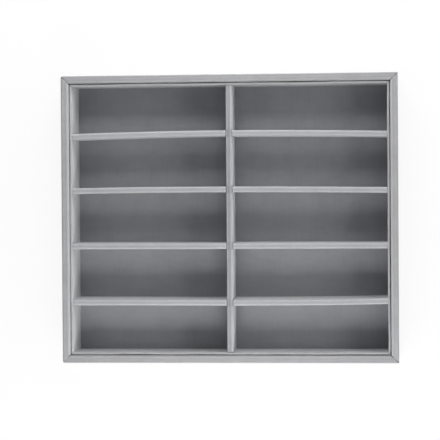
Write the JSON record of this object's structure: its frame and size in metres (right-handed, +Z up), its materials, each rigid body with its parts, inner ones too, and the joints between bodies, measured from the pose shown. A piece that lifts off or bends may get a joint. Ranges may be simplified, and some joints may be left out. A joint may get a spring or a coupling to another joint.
{
  "type": "sunglasses display tray",
  "caption": "Open velvet-covered display tray whose lined insert with crossed dividers forms compartments for sunglasses and lifts out of the frame.",
  "frame": {"origin": "centre of the underside, on the surface that the tray stands on", "axes": "+X along the long side, +Y from front to back, +Z up"},
  "size_m": [0.38, 0.325, 0.055],
  "materials": {
    "grey_velvet": "short-pile grey velvet",
    "fibreboard": "raw fibreboard",
    "greyboard": "raw greyboard",
    "dark_backing_cloth": "matt backing cloth",
    "bright_steel_wire": "drawn wire"
  },
  "bodies": {
    "tray": {"rail_front": "fibreboard", "rail_back": "fibreboard", "rail_left": "fibreboard", "rail_right": "fibreboard", "rail_velvet_front": "grey_velvet", "rail_velvet_back": "grey_velvet", "rail_velvet_left": "grey_velvet", "rail_velvet_right": "grey_velvet", "base_board": "fibreboard", "underside_cover": "dark_backing_cloth", "base_nails": "bright_steel_wire", "corner_brads": "bright_steel_wire"},
    "insert": {"floor_card": "greyboard", "floor_velvet": "grey_velvet", "liner_card_front": "greyboard", "liner_card_back": "greyboard", "liner_card_left": "greyboard", "liner_card_right": "greyboard", "liner_velvet_front": "grey_velvet", "liner_velvet_back": "grey_velvet", "liner_velvet_left": "grey_velvet", "liner_velvet_right": "grey_velvet", "centre_divider_core": "greyboard", "centre_divider_velvet": "grey_velvet", "cross_divider_core_1": "greyboard", "cross_divider_velvet_1": "grey_velvet", "cross_divider_core_2": "greyboard", "cross_divider_velvet_2": "grey_velvet", "cross_divider_core_3": "greyboard", "cross_divider_velvet_3": "grey_velvet", "cross_divider_core_4": "greyboard", "cross_divider_velvet_4": "grey_velvet"}
  },
  "joints": [
    {"name": "insert_lift", "type": "slide", "parent": "tray", "child": "insert", "axis": [0, 0, 1], "range_m": [0, 0.08]}
  ]
}
